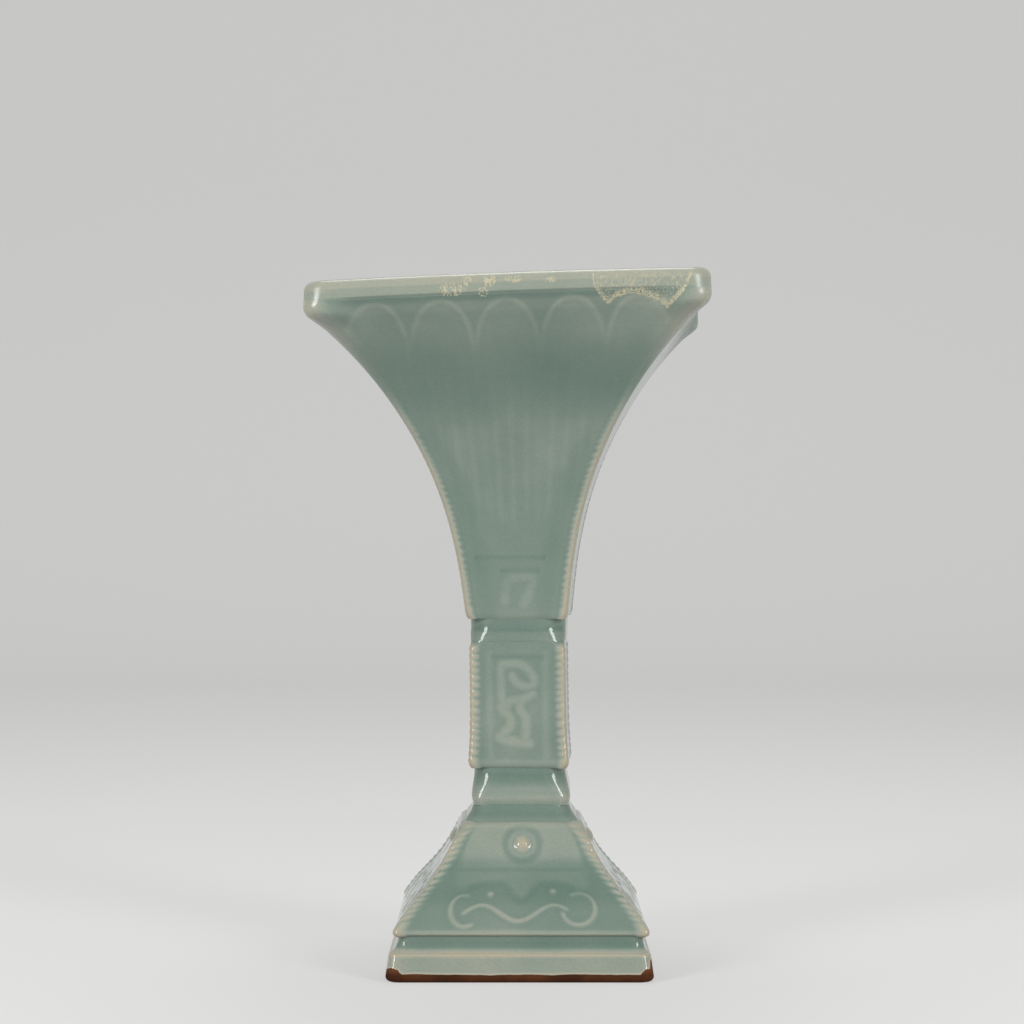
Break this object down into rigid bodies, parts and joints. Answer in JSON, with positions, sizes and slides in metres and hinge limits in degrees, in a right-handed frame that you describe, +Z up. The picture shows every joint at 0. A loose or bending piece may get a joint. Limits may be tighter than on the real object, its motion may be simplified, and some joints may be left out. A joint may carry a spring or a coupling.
{
  "type": "celadon flower goblet",
  "caption": "Square celadon flower vase of old goblet form, with a flaring mouth, a narrow knop and a spreading foot on a stepped plinth, all of pressed slabs luted together.",
  "frame": {"origin": "middle of the square base, on the surface that the vase stands on", "axes": "+Z up along the vase's axis, -Y out of the front face, +X to the right seen from the front"},
  "size_m": [0.1204, 0.1204, 0.21],
  "materials": {
    "celadon_glaze": "thick grey-green celadon glaze, paler where it thins over edges and ridges and deeper where it pools",
    "bare_clay": "unglazed stoneware fired to a burnt brown"
  },
  "bodies": {
    "root": {"plinth_frame": "celadon_glaze", "foot_panel_front": "celadon_glaze", "foot_panel_right": "celadon_glaze", "foot_panel_back": "celadon_glaze", "foot_panel_left": "celadon_glaze", "foot_seam_coil_front_right": "bare_clay", "foot_seam_coil_back_right": "bare_clay", "foot_seam_coil_back_left": "bare_clay", "foot_seam_coil_front_left": "bare_clay", "floor_slab": "celadon_glaze", "lower_waist_ring": "celadon_glaze", "knop_panel_front": "celadon_glaze", "knop_panel_right": "celadon_glaze", "knop_panel_back": "celadon_glaze", "knop_panel_left": "celadon_glaze", "knop_seam_coil_front_right": "celadon_glaze", "knop_seam_coil_back_right": "celadon_glaze", "knop_seam_coil_back_left": "celadon_glaze", "knop_seam_coil_front_left": "celadon_glaze", "upper_waist_ring": "celadon_glaze", "trumpet_panel_front": "celadon_glaze", "trumpet_panel_right": "celadon_glaze", "trumpet_panel_back": "celadon_glaze", "trumpet_panel_left": "celadon_glaze", "trumpet_seam_coil_front_right": "celadon_glaze", "trumpet_seam_coil_back_right": "celadon_glaze", "trumpet_seam_coil_back_left": "celadon_glaze", "trumpet_seam_coil_front_left": "celadon_glaze", "mouth_lip": "celadon_glaze"}
  },
  "joints": []
}
